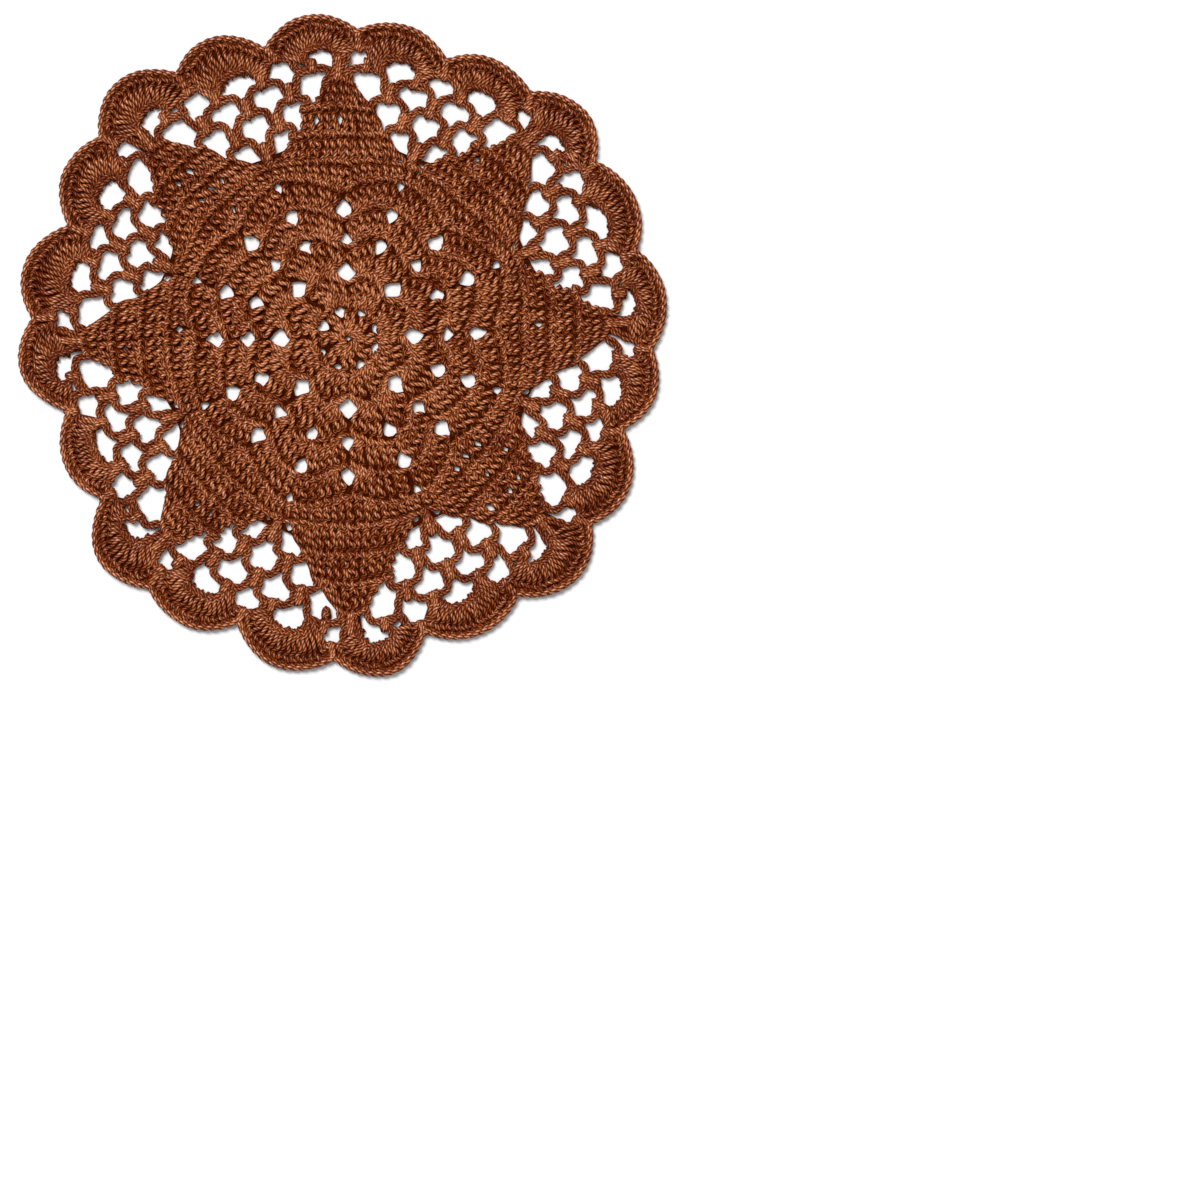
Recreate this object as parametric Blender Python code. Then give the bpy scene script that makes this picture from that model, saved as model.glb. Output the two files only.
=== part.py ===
"""Crocheted lace doily, lying flat on the XY plane with its right side up (+Z).

It is one sheet of crochet. Eight solid petals grow out of closed centre rounds, chain-loop
net fills the wedges between them, and twenty shell scallops make the edge. Every opening
wider than a yarn is cut through, and the rows of stitches stand up from the sheet as low pads.

Directions are degrees clockwise from +Y, as seen from above. The lengths in the tables are
millimetres, and radii run from the centre ring. Each repeat of the pattern has a petal axis
and a net axis, with the net axis midway between two petals.
"""

import math
from collections import namedtuple

import bmesh
import bpy
from mathutils import Vector

NAME = "doily"
MM = 0.001

SHEET_THICKNESS = 2.2 * MM
ROW_RELIEF = 0.5 * MM
ROW_SLOPE = 0.7 * MM
ROW_GROOVE = 0.5
RIM_WIDTH = 3.0
LOOP_TO_SHELL = 1.4
# A shell spans this share of its scallop's edge, and its feet stand this far up its loop.
SHELL_REACH = 0.78
SHELL_FOOT_DEG = 15.0

# The crochet leans a little where the closed rounds are, and hangs straight in the net.
LEAN_DEG = 1.4
LEAN_ENDS_AT = 60.0
LEAN_GONE_AT = 78.0
# The pushes in the table below are for this radius, and grow in step with the radius.
PUSH_RADIUS = 100.0

Repeat = namedtuple("Repeat", "petal_deg petal_push net_push")
REPEATS = (
    Repeat(petal_deg=-1.9, petal_push=-1.9, net_push=-1.3),
    Repeat(petal_deg=42.5, petal_push=-1.5, net_push=1.2),
    Repeat(petal_deg=87.0, petal_push=-1.9, net_push=-2.9),
    Repeat(petal_deg=133.6, petal_push=-1.2, net_push=1.9),
    Repeat(petal_deg=179.5, petal_push=3.9, net_push=3.5),
    Repeat(petal_deg=222.7, petal_push=0.0, net_push=-2.9),
    Repeat(petal_deg=269.5, petal_push=0.0, net_push=-0.6),
    Repeat(petal_deg=314.6, petal_push=2.7, net_push=1.3),
)
HALF_REPEAT = math.radians(180 / len(REPEATS))

# Closed rounds. A seam is the line between two rounds. It dips at the petal axes and rises
# at the net axes. A gap is half the width left free of stitches at an axis.
Seam = namedtuple("Seam", "at_petal at_net")
SEAMS = {
    "fan base": Seam(at_petal=13.9, at_net=13.9),
    "fan top": Seam(at_petal=24.6, at_net=26.6),
    "first split": Seam(at_petal=35.8, at_net=42.4),
    "second split": Seam(at_petal=46.6, at_net=53.9),
    "third split": Seam(at_petal=58.2, at_net=65.1),
}
Gaps = namedtuple("Gaps", "petal_base petal_top net_base net_top")
SplitRound = namedtuple("SplitRound", "base top gaps")
SPLIT_ROUNDS = (
    SplitRound("fan top", "first split", Gaps(3.8, 1.4, 1.0, 4.1)),
    SplitRound("first split", "second split", Gaps(4.0, 1.3, 1.2, 4.5)),
    SplitRound("second split", "third split", Gaps(4.3, 0.8, 0.8, 1.4)),
)
FAN_HALF_BASE = 1.5
FAN_HALF_TOP = 6.6

# Petal rows, of which the first stands on the last seam above. Half widths are measured from
# the petal axis, and a row's top line runs from the middle radius to the edge radius.
PetalRow = namedtuple("PetalRow", "top top_edge half_base half_top")
PETAL_ROWS = (
    PetalRow(top=69.7, top_edge=71.6, half_base=23.4, half_top=22.0),
    PetalRow(top=80.5, top_edge=80.8, half_base=20.6, half_top=18.2),
    PetalRow(top=91.3, top_edge=90.6, half_base=15.4, half_top=13.2),
    PetalRow(top=101.8, top_edge=100.6, half_base=10.0, half_top=3.6),
)

# The shapes that openings take. A taper above 0 narrows the opening outwards and one below 0
# inwards. Power 1 is a diamond and 2 an ellipse.
Shape = namedtuple("Shape", "taper power points")
DIAMOND = Shape(taper=0.0, power=1.2, points=8)
NARROW_OUTWARDS = Shape(taper=0.55, power=1.7, points=6)
NARROW_INWARDS = Shape(taper=-0.55, power=1.7, points=6)
NET_LOOP = Shape(taper=0.0, power=1.7, points=9)
SHELL_LOOP = Shape(taper=0.3, power=1.8, points=9)

Opening = namedtuple("Opening", "axis offset_deg radius half_width half_height shape")
OPENINGS = (
    Opening("petal", 0.0, 25.8, 3.3, 3.3, DIAMOND),
    Opening("petal", 0.0, 38.7, 2.3, 2.4, NARROW_OUTWARDS),
    Opening("petal", 0.0, 51.1, 2.4, 2.9, NARROW_OUTWARDS),
    Opening("net", 0.0, 37.6, 2.2, 2.3, NARROW_INWARDS),
    Opening("net", 0.0, 50.4, 2.3, 2.6, NARROW_INWARDS),
    Opening("net", -5.9, 80.0, 3.7, 2.8, NET_LOOP),
    Opening("net", 5.9, 80.0, 3.7, 2.8, NET_LOOP),
    Opening("net", 0.0, 87.4, 4.9, 4.0, NET_LOOP),
    Opening("net", -10.4, 89.2, 4.7, 3.9, NET_LOOP),
    Opening("net", 10.4, 89.2, 4.7, 3.9, NET_LOOP),
    Opening("net", -5.2, 95.8, 5.4, 4.6, NET_LOOP),
    Opening("net", 5.2, 95.8, 5.4, 4.6, NET_LOOP),
    Opening("net", -16.2, 100.1, 5.2, 4.3, NET_LOOP),
    Opening("net", 16.2, 100.1, 5.2, 4.3, NET_LOOP),
)

# The round of chain loops outside the petals has five loops a repeat, here by their place from
# the net axis. Every second loop is larger and carries a scallop, and the others are links.
OuterLoop = namedtuple("OuterLoop", "offset_deg radius shell_width shell_height link_width link_height")
OUTER_LOOPS = (
    OuterLoop(-18.0, 110.0, 9.4, 6.2, 6.2, 4.8),
    OuterLoop(-9.2, 105.4, 12.0, 8.6, 8.8, 7.4),
    OuterLoop(0.0, 103.1, 13.8, 10.0, 9.6, 7.8),
    OuterLoop(9.2, 105.4, 12.0, 8.6, 8.8, 7.4),
    OuterLoop(18.0, 110.0, 9.4, 6.2, 6.2, 4.8),
)

# Scallops, clockwise. Each has its peak, and the notch between it and the next scallop.
Scallop = namedtuple("Scallop", "peak_deg peak notch_deg notch")
SCALLOPS = (
    Scallop(peak_deg=9.6, peak=123.1, notch_deg=19.5, notch=114.6),
    Scallop(peak_deg=28.6, peak=121.9, notch_deg=36.5, notch=118.8),
    Scallop(peak_deg=46.0, peak=127.1, notch_deg=54.5, notch=117.9),
    Scallop(peak_deg=63.8, peak=123.6, notch_deg=73.0, notch=117.0),
    Scallop(peak_deg=82.4, peak=123.9, notch_deg=92.0, notch=118.0),
    Scallop(peak_deg=99.2, peak=121.2, notch_deg=108.2, notch=112.3),
    Scallop(peak_deg=119.6, peak=123.4, notch_deg=127.2, notch=118.6),
    Scallop(peak_deg=136.6, peak=128.3, notch_deg=146.5, notch=119.6),
    Scallop(peak_deg=155.4, peak=125.2, notch_deg=165.2, notch=118.0),
    Scallop(peak_deg=173.6, peak=131.0, notch_deg=182.5, notch=124.6),
    Scallop(peak_deg=191.2, peak=130.0, notch_deg=201.2, notch=118.4),
    Scallop(peak_deg=210.6, peak=127.6, notch_deg=218.6, notch=123.8),
    Scallop(peak_deg=226.8, peak=129.3, notch_deg=237.0, notch=113.8),
    Scallop(peak_deg=245.2, peak=119.9, notch_deg=255.4, notch=112.3),
    Scallop(peak_deg=265.8, peak=127.4, notch_deg=273.6, notch=122.3),
    Scallop(peak_deg=281.6, peak=128.3, notch_deg=292.0, notch=116.8),
    Scallop(peak_deg=301.8, peak=127.6, notch_deg=309.0, notch=123.8),
    Scallop(peak_deg=317.8, peak=133.2, notch_deg=327.2, notch=122.3),
    Scallop(peak_deg=334.2, peak=127.7, notch_deg=344.0, notch=117.0),
    Scallop(peak_deg=353.2, peak=125.8, notch_deg=361.8, notch=119.6),
)
SCALLOP_POINTS = 8
# Points on each long side of a pad.
ROUND_PAD_POINTS = 4
PETAL_PAD_POINTS = 5
SHELL_TOP_POINTS = 7
SHELL_BASE_POINTS = 5

YARN_COLOUR = (0.184, 0.053, 0.021, 1.0)
YARN_ROUGHNESS = 0.62


def outwards(deg):
    return Vector((math.sin(math.radians(deg)), math.cos(math.radians(deg))))


def clockwise(deg):
    return outwards(deg + 90)


def polar(deg, radius):
    """The point in that direction at that radius, in metres from the centre ring."""
    return outwards(deg) * radius * MM


def petal_deg(repeat):
    """The direction of a petal axis. Repeats past either end go on round the doily."""
    turns, index = divmod(repeat, len(REPEATS))
    return REPEATS[index].petal_deg + 360 * turns


def net_deg(repeat, radius):
    """The direction of the net axis after that petal, which lags in the closed rounds."""
    fade = (LEAN_GONE_AT - radius) / (LEAN_GONE_AT - LEAN_ENDS_AT)
    lean = LEAN_DEG * min(1.0, max(0.0, fade))
    return (petal_deg(repeat) + petal_deg(repeat + 1)) / 2 - lean


def push(deg):
    """How far the crochet stands outside its even place at PUSH_RADIUS, in that direction."""
    marks = []
    for index in range(-1, len(REPEATS) + 1):
        repeat = REPEATS[index % len(REPEATS)]
        marks.append((petal_deg(index), repeat.petal_push))
        marks.append((net_deg(index, PUSH_RADIUS), repeat.net_push))
    deg = (deg - marks[1][0]) % 360 + marks[1][0]
    for (start, low), (end, high) in zip(marks, marks[1:]):
        if start <= deg <= end:
            blend = (1 - math.cos(math.pi * (deg - start) / (end - start))) / 2
            return low + (high - low) * blend
    return 0.0


def spot(deg, radius):
    """A point of the crochet, moved by the unevenness of the hand work."""
    return polar(deg, radius + push(deg) * radius / PUSH_RADIUS)


def side_deg(repeat, side, radius):
    """Direction at a side of a petal: -1 is the net axis before it, 0 the petal, 1 the net after."""
    if side < 0:
        return petal_deg(repeat) + side * (petal_deg(repeat) - net_deg(repeat - 1, radius))
    if side <= 1:
        return petal_deg(repeat) + side * (net_deg(repeat, radius) - petal_deg(repeat))
    net = net_deg(repeat, radius)
    return net + (side - 1) * (petal_deg(repeat + 1) - net)


def seam_radius(seam, side):
    """The radius of a seam at that side. Its rise from petal to net is round at the net."""
    from_petal = min(abs(side), abs(2 - side))
    return seam.at_petal + (seam.at_net - seam.at_petal) * math.sin(math.pi / 2 * from_petal)


def width_to_side(width, radius):
    """An arc length in millimetres as a share of half a repeat."""
    return width / (HALF_REPEAT * radius)


def between(first, last, count):
    """That many evenly spaced values from first to last."""
    return [first + (last - first) * step / (count - 1) for step in range(count)]


def scallop_edge(index, share):
    """A point of a scallop's edge, from its first notch at share -1 over its peak to +1."""
    scallop = SCALLOPS[index]
    notch_deg, notch = scallop.notch_deg, scallop.notch
    if share < 0:
        before = SCALLOPS[index - 1]
        notch_deg, notch = before.notch_deg, before.notch
        if index == 0:
            notch_deg -= 360
    deg = scallop.peak_deg + abs(share) * (notch_deg - scallop.peak_deg)
    return polar(deg, notch + (scallop.peak - notch) * (1 - share * share))


def outline():
    """The scalloped edge, with its points drawn together towards the notches."""
    steps = between(-1, 1, SCALLOP_POINTS + 1)[:-1]
    shares = [math.sin(math.pi / 2 * step) for step in steps]
    return [scallop_edge(index, share) for index in range(len(SCALLOPS)) for share in shares]


def opening_loop(deg, radius, half_width, half_height, shape):
    """A rounded opening round that place, its height along the radius."""
    centre = spot(deg, radius)
    loop = []
    for step in range(shape.points):
        angle = math.tau * step / shape.points + math.pi / 2
        across, up = math.cos(angle), math.sin(angle)
        reach = (abs(across) ** shape.power + abs(up) ** shape.power) ** (-1 / shape.power)
        across, up = across * reach, up * reach
        across *= half_width * (1 - shape.taper * up)
        loop.append(centre + (clockwise(deg) * across + outwards(deg) * up * half_height) * MM)
    return loop


def pattern_openings():
    """The openings at the axes and in the net."""
    loops = []
    for repeat in range(len(REPEATS)):
        for opening in OPENINGS:
            at_petal = opening.axis == "petal"
            axis = petal_deg(repeat) if at_petal else net_deg(repeat, opening.radius)
            loops.append(opening_loop(axis + opening.offset_deg, *opening[2:]))
    return loops


def outer_loops():
    """(direction, row, carries a shell) for the forty outer chain loops, clockwise."""
    loops = []
    for repeat in range(len(REPEATS)):
        for row in OUTER_LOOPS:
            deg = net_deg(repeat, row.radius) + row.offset_deg
            loops.append((deg, row, len(loops) % 2 == 1))
    return loops


def loop_openings():
    loops = []
    for deg, row, shell in outer_loops():
        if shell:
            width, height, shape = row.shell_width, row.shell_height, SHELL_LOOP
        else:
            width, height, shape = row.link_width, row.link_height, NET_LOOP
        loops.append(opening_loop(deg, row.radius, width / 2, height / 2, shape))
    return loops


def pad(base, top):
    """A pad's outline from its lower and upper lines, each left to right."""
    return base + top[::-1]


def fan_pads():
    """The fan of stitches at each net axis, between the centre ring and the first split round."""
    pads = []
    base, top = SEAMS["fan base"], SEAMS["fan top"]
    for repeat in range(len(REPEATS)):
        lines = []
        for seam, half, inset in ((base, FAN_HALF_BASE, ROW_GROOVE), (top, FAN_HALF_TOP, -ROW_GROOVE)):
            reach = width_to_side(half, seam.at_net)
            sides = between(1 - reach, 1 + reach, ROUND_PAD_POINTS)
            radii = [seam_radius(seam, side) + inset for side in sides]
            lines.append([spot(side_deg(repeat, s, r), r) for s, r in zip(sides, radii)])
        pads.append(pad(*lines))
    return pads


def split_pads():
    """The half rows between each petal axis and its net axes, in the three split rounds."""
    pads = []
    for row in SPLIT_ROUNDS:
        base, top = SEAMS[row.base], SEAMS[row.top]
        ends = []
        for seam, petal_gap, net_gap, inset in (
            (base, row.gaps.petal_base, row.gaps.net_base, ROW_GROOVE),
            (top, row.gaps.petal_top, row.gaps.net_top, -ROW_GROOVE),
        ):
            near = width_to_side(petal_gap, seam.at_petal)
            far = 1 - width_to_side(net_gap, seam.at_net)
            ends.append((seam, between(near, far, ROUND_PAD_POINTS), inset))
        for repeat in range(len(REPEATS)):
            for sign in (-1, 1):
                lines = []
                for seam, sides, inset in ends:
                    line = [
                        spot(side_deg(repeat, sign * side, radius), radius)
                        for side in sides
                        for radius in [seam_radius(seam, side) + inset]
                    ]
                    lines.append(line[::sign])
                pads.append(pad(*lines))
    return pads


def petal_line(repeat, row, half, inset):
    """The line above that petal row across its petal, left to right. Row -1 stands for the last
    seam of the closed rounds, on which the first petal row stands."""
    line = []
    for share in between(-1, 1, PETAL_PAD_POINTS):
        if row < 0:
            seam = SEAMS["third split"]
            radius = seam_radius(seam, share * width_to_side(half, seam.at_net))
        else:
            radius = PETAL_ROWS[row].top
            radius += (PETAL_ROWS[row].top_edge - PETAL_ROWS[row].top) * share * share
        radius += inset
        side = width_to_side(share * (half - ROW_GROOVE), radius)
        line.append(spot(side_deg(repeat, side, radius), radius))
    return line


def petal_pads():
    """The rows of each petal outside the closed rounds."""
    pads = []
    for repeat in range(len(REPEATS)):
        for row, size in enumerate(PETAL_ROWS):
            base = petal_line(repeat, row - 1, size.half_base, ROW_GROOVE)
            top = petal_line(repeat, row, size.half_top, -ROW_GROOVE)
            pads.append(pad(base, top))
    return pads


def shell_pads():
    """The crescent of stitches in each scallop, between its chain loop and the edging."""
    pads = []
    shells = [(deg, row) for deg, row, shell in outer_loops() if shell]
    for index, (deg, row) in enumerate(shells):
        centre = spot(deg, row.radius)
        top = []
        for share in between(-SHELL_REACH, SHELL_REACH, SHELL_TOP_POINTS):
            edge = scallop_edge(index, share)
            top.append(edge - (edge - centre).normalized() * RIM_WIDTH * MM)
        base = []
        for lift in between(180 - SHELL_FOOT_DEG, SHELL_FOOT_DEG, SHELL_BASE_POINTS):
            across = math.cos(math.radians(lift)) * (row.shell_width / 2 + LOOP_TO_SHELL)
            up = math.sin(math.radians(lift)) * (row.shell_height / 2 + LOOP_TO_SHELL)
            base.append(centre + (clockwise(deg) * across + outwards(deg) * up) * MM)
        pads.append(pad(base, top))
    return pads


def add_loop(mesh, points, height):
    """Adds a closed run of edges at that height and returns the edges."""
    corners = [mesh.verts.new((x, y, height)) for x, y in points]
    return [
        mesh.edges.new((corner, corners[(index + 1) % len(corners)]))
        for index, corner in enumerate(corners)
    ]


def shift_to_middle(loops):
    """Moves all loops so that the outline's box, the first loop's, is centred on the origin."""
    xs, ys = zip(*loops[0])
    middle_x, middle_y = (min(xs) + max(xs)) / 2, (min(ys) + max(ys)) / 2
    return [[(x - middle_x, y - middle_y) for x, y in loop] for loop in loops]


def build_mesh():
    """The perforated sheet: filled below, walls up every opening, filled above, rows raised."""
    cut = [outline()] + pattern_openings() + loop_openings()
    raised = fan_pads() + split_pads() + petal_pads() + shell_pads()
    placed = shift_to_middle(cut + raised)
    cut, raised = placed[: len(cut)], placed[len(cut) :]

    mesh = bmesh.new()
    lower = [edge for loop in cut for edge in add_loop(mesh, loop, 0.0)]
    bmesh.ops.triangle_fill(mesh, edges=lower, use_beauty=True)
    walls = bmesh.ops.extrude_edge_only(mesh, edges=lower)["geom"]
    corners = {item for item in walls if isinstance(item, bmesh.types.BMVert)}
    upper = [
        item
        for item in walls
        if isinstance(item, bmesh.types.BMEdge) and corners.issuperset(item.verts)
    ]
    bmesh.ops.translate(mesh, verts=list(corners), vec=(0.0, 0.0, SHEET_THICKNESS))
    rows = []
    for loop in raised:
        edges = add_loop(mesh, loop, SHEET_THICKNESS)
        upper += edges
        rows += bmesh.ops.edgeloop_fill(mesh, edges=edges)["faces"]
    bmesh.ops.triangle_fill(mesh, edges=upper, use_beauty=True)
    bmesh.ops.recalc_face_normals(mesh, faces=mesh.faces)
    bmesh.ops.inset_individual(mesh, faces=rows, thickness=ROW_SLOPE, depth=ROW_RELIEF)
    data = bpy.data.meshes.new(NAME)
    mesh.to_mesh(data)
    mesh.free()
    return data


def yarn_material():
    material = bpy.data.materials.new("rust_brown_yarn")
    material.use_nodes = True
    shader = material.node_tree.nodes["Principled BSDF"]
    shader.inputs["Base Color"].default_value = YARN_COLOUR
    shader.inputs["Roughness"].default_value = YARN_ROUGHNESS
    shader.inputs["Metallic"].default_value = 0.0
    return material


def main():
    for item in list(bpy.data.objects):
        bpy.data.objects.remove(item)
    collection = bpy.data.collections.new("lace_doily")
    bpy.context.scene.collection.children.link(collection)
    doily = bpy.data.objects.new(NAME, build_mesh())
    doily.data.materials.append(yarn_material())
    collection.objects.link(doily)


main()
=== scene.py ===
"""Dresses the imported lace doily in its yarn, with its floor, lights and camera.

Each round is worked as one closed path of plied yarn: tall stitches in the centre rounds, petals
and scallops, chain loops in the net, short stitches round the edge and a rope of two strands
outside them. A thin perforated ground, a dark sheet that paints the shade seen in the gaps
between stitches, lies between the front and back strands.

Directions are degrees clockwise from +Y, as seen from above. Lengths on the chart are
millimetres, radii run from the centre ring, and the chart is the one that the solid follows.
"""

from collections import namedtuple
from functools import partialmethod
from math import atan2, cos, degrees, pi, radians, sin, tau

import bmesh
import bpy
import numpy as np
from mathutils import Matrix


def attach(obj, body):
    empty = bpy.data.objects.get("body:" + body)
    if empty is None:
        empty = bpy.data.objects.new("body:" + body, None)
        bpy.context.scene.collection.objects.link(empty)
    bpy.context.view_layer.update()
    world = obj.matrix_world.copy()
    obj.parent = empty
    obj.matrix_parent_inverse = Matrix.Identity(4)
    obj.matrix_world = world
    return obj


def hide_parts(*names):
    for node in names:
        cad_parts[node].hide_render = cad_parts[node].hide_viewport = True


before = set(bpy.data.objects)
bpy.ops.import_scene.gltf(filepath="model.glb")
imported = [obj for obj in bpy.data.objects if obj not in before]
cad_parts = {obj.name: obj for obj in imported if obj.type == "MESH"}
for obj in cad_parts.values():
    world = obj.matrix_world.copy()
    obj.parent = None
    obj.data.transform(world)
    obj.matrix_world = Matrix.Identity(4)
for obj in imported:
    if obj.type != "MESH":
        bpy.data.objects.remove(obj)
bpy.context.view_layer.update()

bl_info = {
    "name": "Lace doily",
    "version": (1, 0, 0),
    "blender": (4, 5, 0),
    "location": "View3D > Sidebar > Doily",
    "description": "Crochets a round lace doily from plied yarn and lays it on a pale floor",
    "category": "Add Mesh",
}

MM = 0.001

# ---- the chart

# The net axes of the closed rounds lean by this much, which fades out between two radii.
LEAN_DEG = 1.4
LEAN_ENDS_AT = 60.0
LEAN_GONE_AT = 78.0
# The radius at which pushes are stated.
PUSH_RADIUS = 100.0

Repeat = namedtuple("Repeat", "petal_deg petal_push net_push")
REPEATS = [Repeat(*row) for row in (
    (-1.9, -1.9, -1.3), (42.5, -1.5, 1.2), (87.0, -1.9, -2.9), (133.6, -1.2, 1.9),
    (179.5, 3.9, 3.5), (222.7, 0.0, -2.9), (269.5, 0.0, -0.6), (314.6, 2.7, 1.3),
)]
HALF_REPEAT = radians(180 / len(REPEATS))
WEDGES = range(len(REPEATS))

CENTRE_RING = 2.6
CENTRE_TOP = 13.2
CENTRE_GAP_HALF = 1.3
CENTRE_STITCHES = 2

Seam = namedtuple("Seam", "at_petal at_net")
FAN_TOP = Seam(21.3, 26.3)
FIRST_SPLIT = Seam(35.6, 42.2)
SECOND_SPLIT = Seam(46.4, 53.7)
THIRD_SPLIT = Seam(58.0, 64.9)
SplitRound = namedtuple("SplitRound", "base top stitches")
SPLIT_ROUNDS = [SplitRound(*row) for row in (
    (FAN_TOP, FIRST_SPLIT, 4), (FIRST_SPLIT, SECOND_SPLIT, 6), (SECOND_SPLIT, THIRD_SPLIT, 7),
)]
# How far rows stay off the petal and net axes, in shares of the way between these.
AXIS_GAP = 0.02
# Room for half a strand round an opening, how far off strands move aside for large openings, the
# centre's and small ones, and by what share an opening's sides differ.
STRAND_ROOM = 0.7
PARTED_WIDTH = 9.0
CENTRE_PARTED = 3.5
SMALL_PARTED = 3.0
UNEVEN_SIDES = 0.16
FAN_STITCHES = 5
FAN_HALF_BASE = 4.6
FAN_FOOT_SHIFT = 0.5

PetalRow = namedtuple("PetalRow", "top top_edge half_base half_top stitches")
PETAL_ROWS = [PetalRow(*row) for row in (
    (69.9, 71.4, 26.0, 27.4, 17), (80.5, 80.8, 26.2, 19.4, 15),
    (91.3, 90.6, 17.8, 14.6, 10), (102.4, 100.6, 12.6, 5.4, 6),
)]
# A petal row is drawn in by this much at each end and shifted to the left.
PETAL_TRIM = 0.1
PETAL_SHIFT = 0.4

# Slits between the posts of a petal row, by the number of stitches before them.
Slit = namedtuple("Slit", "repeat row stitch half_height")
SLITS = [Slit(*row) for row in (
    (0, 2, 2, 1.5), (0, 2, 5, 1.7), (1, 2, 2, 0.9), (2, 1, 7, 1.4), (2, 1, 13, 0.9), (3, 0, 7, 1.3),
    (3, 0, 9, 1.2), (3, 0, 11, 0.9), (3, 1, 4, 0.7), (3, 1, 8, 1.2), (3, 2, 3, 1.2), (3, 2, 5, 2.2),
    (3, 2, 8, 2.0), (4, 2, 5, 1.3), (4, 2, 8, 0.8), (5, 1, 13, 0.7), (5, 2, 3, 0.9), (5, 2, 5, 0.8),
    (6, 0, 10, 0.8), (6, 2, 4, 0.8), (7, 0, 10, 1.1), (7, 1, 7, 0.7), (7, 1, 9, 1.8), (7, 1, 11, 1.8),
    (7, 2, 4, 0.8), (7, 2, 6, 1.6),
)]
SLIT_HALF_WIDTH = 0.8
SLIT_END_ROOM = 0.6
SLIT_SIDE_ROOM = 1.3

# A taper above 0 narrows an opening outwards, one below 0 inwards.
Shape = namedtuple("Shape", "taper power")
DIAMOND = Shape(0.0, 1.2)
NARROWING = Shape(0.55, 1.7)
WIDENING = Shape(-0.55, 1.7)
NET_LOOP = Shape(0.0, 1.7)
Opening = namedtuple("Opening", "offset_deg radius half_width half_height shape", defaults=[NET_LOOP])
AT_PETAL = [Opening(0.0, *row) for row in (
    (25.8, 3.3, 3.3, DIAMOND), (38.7, 2.1, 2.2, NARROWING), (51.1, 2.2, 2.7, NARROWING),
)]
AT_NET = [Opening(0.0, *row) for row in (
    (37.6, 2.0, 2.2, WIDENING), (50.4, 2.1, 2.5, WIDENING), (63.2, 0.6, 1.8, WIDENING),
)]
# Small gaps in the second petal row, below the net's first bar.
UNDER_BAR = (Opening(-3.5, 72.8, 0.7, 1.2), Opening(3.3, 71.6, 0.8, 1.4))
# The opening under each of the net's chain loops, row by row.
NET_ROWS = (
    (Opening(-5.9, 80.0, 3.7, 2.8), Opening(5.9, 80.0, 3.7, 2.8)),
    (Opening(-10.4, 89.2, 4.7, 3.9), Opening(0.0, 87.4, 4.9, 4.0), Opening(10.4, 89.2, 4.7, 3.9)),
    (
        Opening(-16.2, 100.1, 5.2, 4.3), Opening(-5.2, 95.8, 5.4, 4.6),
        Opening(5.2, 95.8, 5.4, 4.6), Opening(16.2, 100.1, 5.2, 4.3),
    ),
)
FIRST_NET_TOP = 74.8
# Heights of the wraps in the valleys between loops, by net row and for the outer loops, and in
# the fork over a petal's tip.
VALLEY_WRAPS = ((), (0.0, 2.3, 4.4), (0.0, 2.3, 4.6), (0.0, 2.3, 4.6), (0.0, 2.3))
TIP_WRAPS = (0.0, 2.4, 4.6, 6.4)
CHAIN_LENGTH = 3.8
CHAIN_HALF_WIDTH = 0.9
CHAIN_STEP = 0.5
# From an opening's edge to the chain's middle.
BAR = 1.5
# A chain loop's middle line over its opening, in half widths and half heights.
ARCH = ((-0.98, 0.62), (-0.64, 0.98), (0, 1.03), (0.64, 0.98), (0.98, 0.62))
ARCH_FLANK = 1.02
# How far a loop's foot stands beside the knot under it.
FOOT_SPREAD = 1.2
TIP_KNOT_RADIUS = 102.8
# The ground's wedge between two petals: its reach under them, its lower side and its arcs round
# the outer loops.
WEDGE_REACH = 2.2
WEDGE_BAR = ((-4.9, 75.7), (-2.4, 75.3), (0.0, 75.3), (2.4, 75.3), (4.9, 75.7))
WEDGE_ARC_DEG = (66, 33, 0, -33, -66)
WEDGE_ARC_ROOM = 1.0
CENTRE_HOLE = Opening(0.0, 0.0, 1.0, 1.0)
GROUND_STEP = 3.0
# The one-chain gaps of the first round, into which the fans are worked.
CENTRE_GAPS = [Opening(*row) for row in (
    (-15.0, 11.2, 1.5, 2.2, WIDENING), (28.0, 12.0, 1.2, 1.3), (71.0, 12.0, 1.8, 1.4),
    (109.5, 12.2, 1.9, 1.4, NARROWING), (153.6, 11.8, 1.5, 1.8, WIDENING), (199.0, 12.0, 1.1, 1.2),
    (242.0, 12.0, 0.8, 1.1), (297.0, 10.6, 1.4, 1.7, WIDENING),
)]

OuterLoop = namedtuple("OuterLoop", "offset_deg radius shell_width shell_height link_width link_height")
OUTER_LOOPS = [OuterLoop(*row) for row in (
    (-18.0, 110.0, 9.4, 6.2, 6.2, 4.8), (-9.2, 105.4, 12.0, 8.6, 8.8, 7.4),
    (0.0, 103.1, 13.8, 10.0, 9.6, 7.8), (9.2, 105.4, 12.0, 8.6, 8.8, 7.4),
    (18.0, 110.0, 9.4, 6.2, 6.2, 4.8),
)]

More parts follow.
